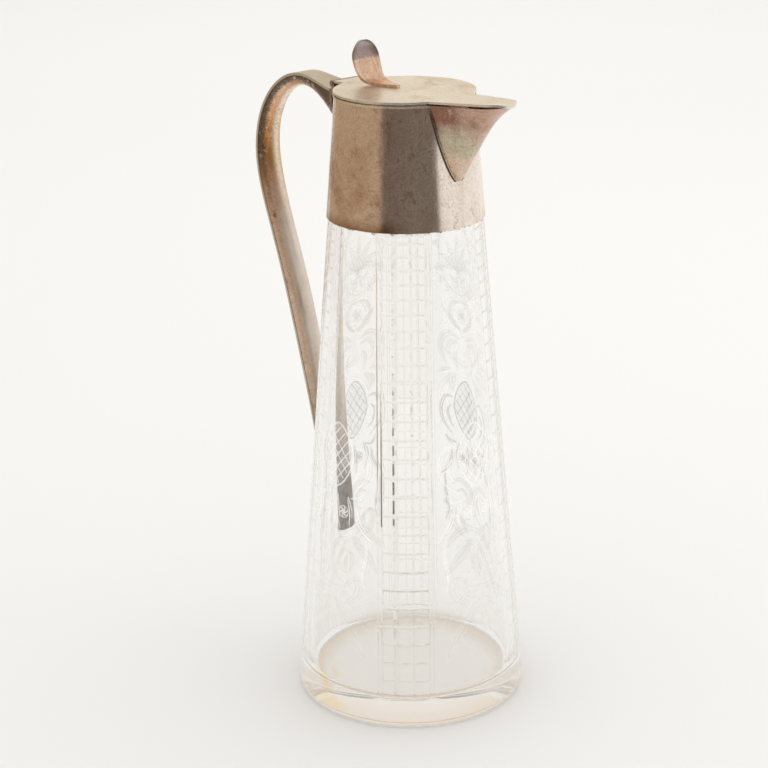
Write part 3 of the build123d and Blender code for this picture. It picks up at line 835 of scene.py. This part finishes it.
def medallion(p, z, wide, tall):
    """A ring with a plume and a flower in it, and a garland of round leaves outside."""
    oval(p, 0, z, wide, tall, 1.0)
    oval(p, 0, z, wide - 1.5, tall - 1.7, 0.4)
    for k in range(-3, 4):
        p.leaf((k * 0.7, z - tall * 0.35), 90 - k * 20, tall * (0.95 - 0.1 * abs(k)), 3.4, -k * 22)
    rosette(p, 0, z - tall * 0.38, 2.6)
    for side in (-1, 1):
        p.blade([(0, z - tall * 0.5), (side * 3.4, z - tall * 0.62),
                 (side * 7, z - tall * 0.46)], 2.6)
        p.blade([(side, z - tall * 0.6), (side * 2.4, z - tall * 0.8),
                 (side * 5, z - tall * 0.72)], 2)
        for k in range(9):
            a = math.radians(90 - side * (8 + 17 * k))
            out = 1.6 + 0.6 * (k % 2)
            at = (math.cos(a) * (wide + out), z + math.sin(a) * (tall + out))
            if abs(at[0]) < wide + 1.2:
                for turn in (0, 110, 235):
                    p.leaf(at, math.degrees(a) + turn, 2.4, 2.2, 30, False)


def lattice(p, z, tall, wide):
    """A cartouche filled with crossed lines. Its outline is a superellipse of this power."""
    power = 1.6

    def inside(x, h, grow):
        return (abs(x) / wide / grow) ** power + (abs(h - z) / tall / grow) ** power < 1

    outline = []
    for k in range(73):
        c, d = math.cos(math.pi * k / 36), math.sin(math.pi * k / 36)
        outline.append((math.copysign(abs(c) ** (2 / power), c) * wide,
                        z + math.copysign(abs(d) ** (2 / power), d) * tall))
    p.stroke(outline, 0.8, False)
    rows = []
    for k in range(19):
        x = wide * math.cos(math.pi * k / 18)
        half = tall * max(0.0, 1 - (abs(x) / wide) ** power) ** (1 / power)
        rows.append([(x, z + half * w) for w in ACROSS])
    p.strip(rows)
    for lean in (-1, 1):
        for k in range(-6, 7):
            run = [(i * 0.5, z + k * 5.6 + lean * i * 0.5 * 1.2) for i in range(-24, 25)]
            run = [q for q in run if inside(q[0], q[1], 0.94)]
            if len(run) > 3:
                p.stroke(run, 0.6, False)


def foliage(p, side):
    """One half of a panel's scrolls and leaves; the other half mirrors it."""
    def at(*points):
        return [(side * x, z) for x, z in points]

    # Under the medallion: a stem and a leaf that rise to the side.
    p.blade(at((0.6, 163), (6.5, 167.5), (12.4, 174)), 2.4)
    p.blade(at((1, 178), (6.4, 176.5), (8.6, 171), (5.6, 165.5), (1.5, 163.5)), 2.2)
    # A broad curled leaf.
    p.blade(at((2.6, 159), (9.5, 161.2), (14.6, 157.6), (15.4, 151), (12, 144)), 3.6)
    p.blade(at((3.4, 156.5), (8.6, 157.4), (11.4, 153), (9.8, 147.4)), 3.0)
    p.blade(at((4.4, 152.6), (6.4, 151), (6.6, 146.6), (5, 142.6)), 2.4)
    p.fluting(at((10.4, 158.4), (13.4, 154), (12.6, 148.4), (9.6, 143.6)), 2.4, 9)
    p.blade(at((9.6, 143.4), (13.6, 142.8), (18.6, 140.2)), 2.2)
    p.blade(at((6.4, 141.4), (9.4, 137.6), (9.6, 131.4)), 4.0)
    p.blade(at((10.6, 141), (12.6, 137.4), (11, 132.6)), 2.6)
    # Beside the lattice: an outer scroll with an inner one.
    p.blade(at((9.4, 128.6), (14.2, 129.2), (17.9, 122.8), (16.8, 115.2), (10.8, 108.4)), 2.4)
    p.blade(at((11.4, 124.6), (13.8, 121.6), (12.9, 116.4), (9.9, 112.8)), 1.8)
    p.blade(at((16, 108.6), (13.4, 105.4), (8.6, 105.2)), 2.2)
    rosette(p, side * 5.0, 98.5, 2.7)
    # Claws under the lattice.
    p.blade(at((1.4, 106), (2.4, 98), (3.6, 90.6)), 2.8)
    p.blade(at((7.4, 106), (9.8, 99), (8.8, 91.6)), 2.8)
    p.blade(at((12.4, 102.4), (14.4, 94.6), (21, 86.8)), 2.6)
    # The big scroll.
    p.blade(at((13.6, 83), (8.4, 86), (1.8, 82.6), (-0.6, 75.4), (2.6, 68.2), (7.4, 65.4)), 3.4)
    p.blade(at((11.2, 79.4), (7.2, 81), (3.8, 77.4), (4.6, 72.2), (8.2, 70.6)), 2.6)
    p.fluting(at((10.6, 76.6), (8, 77.8), (6, 75.2), (7.4, 72.8)), 1.6, 6)
    p.blade(at((17.6, 88), (18.4, 80), (17.2, 70), (19, 63.4)), 2.0)
    rosette(p, side * 18.1, 73, 1.8)
    # Crossing stems.
    p.blade(at((0, 63.2), (6.4, 63.8), (12.8, 68.8), (19.6, 66.6)), 2.2)
    p.blade(at((12.2, 70.6), (15.4, 65), (13.6, 59.6), (7.4, 55.8)), 4.4)
    p.blade(at((9.4, 68), (8.8, 62), (4.6, 57.6)), 3.0)
    # Leaves that hang over the foot.
    p.blade(at((0.6, 61.4), (7.8, 60.4), (15.4, 54.2), (21, 46.4)), 3.6)
    p.fluting(at((3, 60.6), (9.6, 58.4), (16, 52.6), (20, 47)), 4.2, 14)
    p.blade(at((1.6, 57), (5.4, 54.4), (9.2, 50.2)), 2.8)
    p.blade(at((2.8, 54), (8.4, 48.4), (14, 41.8), (20.4, 32.4)), 4.6)
    p.fluting(at((3.6, 51), (6.6, 44.4), (10.4, 37.4), (14.6, 31.6)), 3.2, 10)
    p.blade(at((0.8, 50), (2.6, 44.6), (1.2, 38.4)), 3.2)


# Each panel's compass angle in degrees, with the two that the camera faces turned a little.
for number, middle in enumerate((0.4, 90.0, 180.0, 270.4)):
    panel = Panel(middle)
    medallion(panel, 199, 12.6, 18.0)
    oval(panel, 0, 170.8, 6.4, 6.8, 0.6)
    rosette(panel, 0, 170.8, 3.4)
    for half in (-1, 1):
        foliage(panel, half)
    lattice(panel, 124, 14.5, 9.2)
    panel.finish(str(number + 1))

# ---------------------------------------------------------------- camera
# Fitted to the photograph, in metres.
CAMERA_PLACE = Vector((0.63247, -0.58363, 0.44395))
CAMERA_RIGHT = Vector((0.672595, 0.739873, -0.014271))
CAMERA_UP = Vector((-0.232784, 0.229843, 0.944978))
CAMERA_BACK = Vector((0.702444, -0.632266, 0.326822))
camera_data = bpy.data.cameras.new("camera")
camera_data.sensor_width = 36
camera_data.lens = 94.56
camera_data.clip_end = 30
camera = bpy.data.objects.new("camera", camera_data)
scene.collection.objects.link(camera)
turn = Matrix((CAMERA_RIGHT, CAMERA_UP, CAMERA_BACK)).transposed().to_4x4()
camera.matrix_world = Matrix.Translation(CAMERA_PLACE) @ turn
scene.camera = camera

# ---------------------------------------------------------------- studio
PAPER_SIZE, PAPER_Z = 6.0, -0.0002
PAPER_PAINTED_LIGHT, PAPER_PAINTED_LIGHT_R = 0.32, (0.0515, 0.049)    # painted light: the paper glows faintly under the jug's thick base, in place of light through the glass
BOUNCES = 96                                        # with fewer, the glass has black bands
CARD_STEPS = 24

scene.view_settings.view_transform = "Standard"
scene.view_settings.look = "None"
scene.cycles.max_bounces = BOUNCES
scene.cycles.transmission_bounces = BOUNCES
scene.cycles.glossy_bounces = BOUNCES
scene.cycles.transparent_max_bounces = BOUNCES
world = bpy.data.worlds.new("studio")
scene.world = world
world.use_nodes = True
sky = world.node_tree.nodes["Background"]
sky.inputs["Color"].default_value = rgb(252, 251, 249)
sky.inputs["Strength"].default_value = 0.905
world.cycles.sampling_method = "MANUAL"
world.cycles.sample_map_resolution = 256


def floor():
    g = Graph("floor_paper")
    flat = g.node("ShaderNodeVectorMath", {0: g.coords()}, operation="LENGTH")
    # Painted light: the paper glows inside a ring under the jug's base.
    glow = g.remap(flat.outputs["Value"], *PAPER_PAINTED_LIGHT_R, 0.0, PAPER_PAINTED_LIGHT)
    g.set(Base_Color=rgb(249, 248, 247), Roughness=0.85, Emission_Color=rgb(255, 250, 244),
          Emission_Strength=glow)
    corners = [(x * PAPER_SIZE, y * PAPER_SIZE, PAPER_Z)
               for x, y in ((-1, -1), (1, -1), (1, 1), (-1, 1))]
    piece = new_piece("floor", corners, [(0, 1, 2, 3)], g.mat, body=None)


def card(name, low, high, z0, z1, radius, colour):
    """A glowing curved wall that only reflections see, between two compass angles in degrees."""
    g = Graph(name)
    g.tree.nodes.remove(g.bsdf)
    glow = g.node("ShaderNodeEmission", {"Color": colour, "Strength": 1.0})
    g.put(g.out.inputs[0], glow.outputs[0])
    verts, faces = [], []
    for k in range(CARD_STEPS + 1):
        a = math.radians(low + (high - low) * k / CARD_STEPS)
        verts += [(radius * math.cos(a), radius * math.sin(a), z) for z in (z0, z1)]
        if k:
            faces.append((2 * k - 2, 2 * k, 2 * k + 1, 2 * k - 1))
    piece = new_piece(name, verts, faces, g.mat, body=None)
    piece.visible_camera = False
    piece.visible_diffuse = False
    piece.visible_transmission = False
    piece.visible_volume_scatter = False
    piece.visible_shadow = False


def soft_light(name, place, target, size, power, colour):
    """A square lamp that neither reflections nor glass show."""
    data = bpy.data.lights.new(name, "AREA")
    data.shape = "SQUARE"
    data.size = size
    data.energy = power
    data.color = colour
    lamp = bpy.data.objects.new(name, data)
    scene.collection.objects.link(lamp)
    lamp.location = place
    aim = Vector(target) - Vector(place)
    lamp.rotation_euler = aim.to_track_quat("-Z", "Y").to_euler()
    lamp.visible_glossy = False
    lamp.visible_transmission = False


floor()
card("dark_opening", -78, 6, 0.0, 0.75, 0.9, rgb(112, 101, 93))
card("brown_room", -190, -78, 0.0, 0.9, 0.9, rgb(186, 166, 144))
card("far_wall", 100, 175, 0.25, 1.6, 1.4, rgb(246, 234, 216))
soft_light("window", (-1.3, 1.35, 1.35), (-1.3, 1.35, 0.0), 1.4, 2.5, (1.0, 0.995, 0.985))
soft_light("lamp", (0.3, 0.55, 1.35), (0.15, 0.1, 0.0), 1.2, 3.0, (1.0, 0.99, 0.98))
